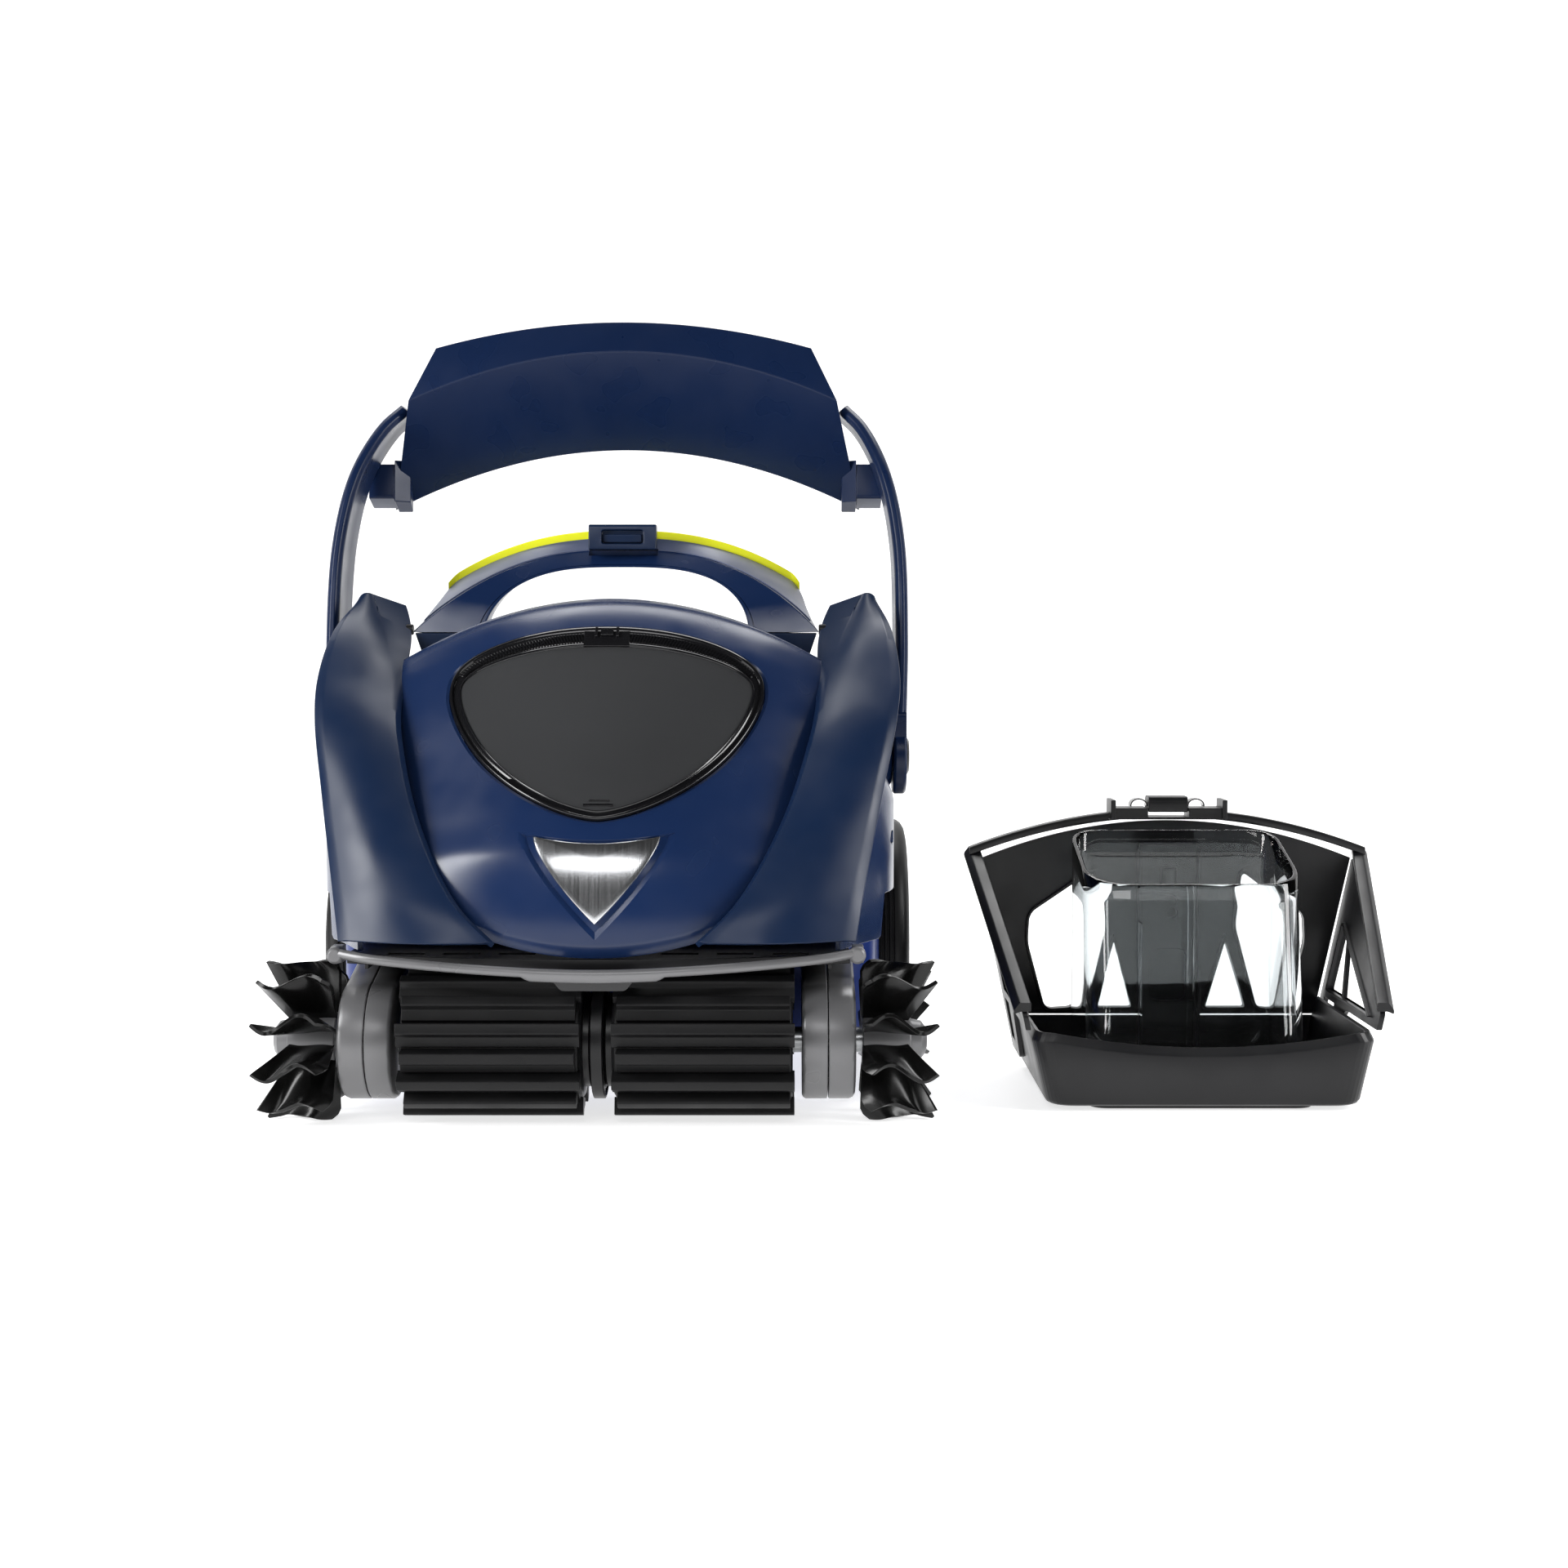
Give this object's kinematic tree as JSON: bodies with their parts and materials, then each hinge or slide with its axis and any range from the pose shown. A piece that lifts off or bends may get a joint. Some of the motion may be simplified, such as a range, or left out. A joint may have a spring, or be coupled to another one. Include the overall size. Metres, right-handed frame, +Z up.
{
  "type": "robotic pool cleaner",
  "caption": "Robotic pool cleaner with ribbed brush rollers, side paddles, rear wheels, hinged hood with window, carry hoop and a lift-out filter canister beside it.",
  "frame": {"origin": "on the ground, at the bottom centre of the bounding box of the cleaner and the canister that stands beside it", "axes": "+Z up, +Y from the brushes to the rear wheels, +X from the cleaner to the canister, along the longest extent"},
  "size_m": [0.64, 0.3372, 0.461],
  "materials": {
    "navy_gloss": "glossy navy moulded plastic",
    "blue_body": "satin royal blue moulded plastic",
    "black_plastic": "satin black moulded plastic",
    "black_rubber": "moulded black rubber",
    "silver_plastic": "satin silver painted plastic",
    "badge_metal": "brushed bright metal plate",
    "yellow_trim": "satin lemon yellow plastic",
    "smoked_lens": "smoked clear plastic",
    "clear_cup": "clear moulded plastic",
    "steel": "bare stainless steel"
  },
  "bodies": {
    "chassis": {"chassis_tub": "blue_body", "intake_throat": "black_plastic", "front_guard": "black_plastic", "side_panel_right": "navy_gloss", "side_panel_left": "navy_gloss", "rear_shell": "navy_gloss", "outlet_grille": "black_plastic", "hinge_pin_right": "steel", "hinge_pin_left": "steel", "control_box": "black_plastic", "cable_gland": "black_plastic", "pump_motor": "steel", "bumper_bar": "silver_plastic", "gearcase_inner_right": "silver_plastic", "gearcase_inner_left": "silver_plastic", "gearcase_outer_right": "silver_plastic", "gearcase_outer_left": "silver_plastic", "centre_bearing": "black_plastic", "drive_motor_right": "steel", "drive_motor_left": "steel"},
    "hood": {"hood_shell": "navy_gloss", "window_frame": "black_plastic", "window_lens": "smoked_lens", "badge": "badge_metal", "wing_right": "navy_gloss", "wing_left": "navy_gloss", "hood_handle": "navy_gloss", "handle_trim": "yellow_trim"},
    "latch_button": {"latch_button": "navy_gloss"},
    "release_tab": {"release_tab": "black_plastic"},
    "hoop": {"hoop_arm_right": "navy_gloss", "hoop_arm_left": "navy_gloss", "hoop_crossbar": "navy_gloss"},
    "impeller": {"impeller": "black_plastic"},
    "canister": {"canister_tray": "black_plastic", "canister_back": "black_plastic", "canister_side_right": "black_plastic", "canister_side_left": "black_plastic", "canister_rim": "black_plastic", "canister_cup": "clear_cup", "canister_spine": "black_plastic", "canister_top_bar": "black_plastic"},
    "canister_latch": {"canister_latch": "black_plastic"},
    "brush_right": {"brush_shaft_right": "steel", "brush_gear_right": "black_plastic", "roller_right": "black_rubber", "paddle_right": "black_rubber"},
    "pinion_right": {"drive_pinion_right": "black_plastic"},
    "wheel_right": {"tyre_right": "black_rubber", "rim_right": "black_plastic", "axle_right": "steel"},
    "brush_left": {"brush_shaft_left": "steel", "brush_gear_left": "black_plastic", "roller_left": "black_rubber", "paddle_left": "black_rubber"},
    "pinion_left": {"drive_pinion_left": "black_plastic"},
    "wheel_left": {"tyre_left": "black_rubber", "rim_left": "black_plastic", "axle_left": "steel"}
  },
  "joints": [
    {"name": "hood_hinge", "type": "hinge", "parent": "chassis", "child": "hood", "pos_m": [-0.137, 0.087, 0.212], "axis": [-1, 0, 0], "range_deg": [0, 35]},
    {"name": "hoop_fold", "type": "hinge", "parent": "chassis", "child": "hoop", "pos_m": [-0.137, 0.024, 0.192], "axis": [-1, 0, 0], "range_deg": [0, 70]},
    {"name": "latch_press", "type": "slide", "parent": "hood", "child": "latch_button", "axis": [0, 0, -1], "range_m": [0, 0.003], "stiffness_N_per_m": 800},
    {"name": "release_pull", "type": "slide", "parent": "chassis", "child": "release_tab", "axis": [0, -1, 0], "range_m": [0, 0.004], "stiffness_N_per_m": 800},
    {"name": "impeller_spin", "type": "hinge", "parent": "chassis", "child": "impeller", "pos_m": [-0.137, 0.117, 0.17], "axis": [0, 0, 1], "continuous": true},
    {"name": "canister_lift", "type": "slide", "parent": "chassis", "child": "canister", "axis": [0, 0, 1], "range_m": [0, 0.25]},
    {"name": "canister_latch_press", "type": "slide", "parent": "canister", "child": "canister_latch", "axis": [0, 0, -1], "range_m": [0, 0.0025], "stiffness_N_per_m": 800},
    {"name": "wheel_spin_right", "type": "hinge", "parent": "chassis", "child": "wheel_right", "pos_m": [-0.137, 0.071, 0.075], "axis": [1, 0, 0], "continuous": true},
    {"name": "brush_spin_right", "type": "hinge", "parent": "chassis", "child": "brush_right", "pos_m": [-0.137, -0.118, 0.044], "axis": [1, 0, 0], "continuous": true},
    {"name": "pinion_spin_right", "type": "hinge", "parent": "chassis", "child": "pinion_right", "pos_m": [-0.137, -0.094, 0.062], "axis": [1, 0, 0], "continuous": true},
    {"name": "wheel_spin_left", "type": "hinge", "parent": "chassis", "child": "wheel_left", "pos_m": [-0.137, 0.071, 0.075], "axis": [1, 0, 0], "continuous": true},
    {"name": "brush_spin_left", "type": "hinge", "parent": "chassis", "child": "brush_left", "pos_m": [-0.137, -0.118, 0.044], "axis": [1, 0, 0], "continuous": true},
    {"name": "pinion_spin_left", "type": "hinge", "parent": "chassis", "child": "pinion_left", "pos_m": [-0.137, -0.094, 0.062], "axis": [1, 0, 0], "continuous": true}
  ],
  "couplings": [
    {"joint": "brush_spin_right", "follows": "wheel_spin_right", "ratio": 1.7},
    {"joint": "pinion_spin_right", "follows": "wheel_spin_right", "ratio": -3.4},
    {"joint": "brush_spin_left", "follows": "wheel_spin_left", "ratio": 1.7},
    {"joint": "pinion_spin_left", "follows": "wheel_spin_left", "ratio": -3.4}
  ]
}
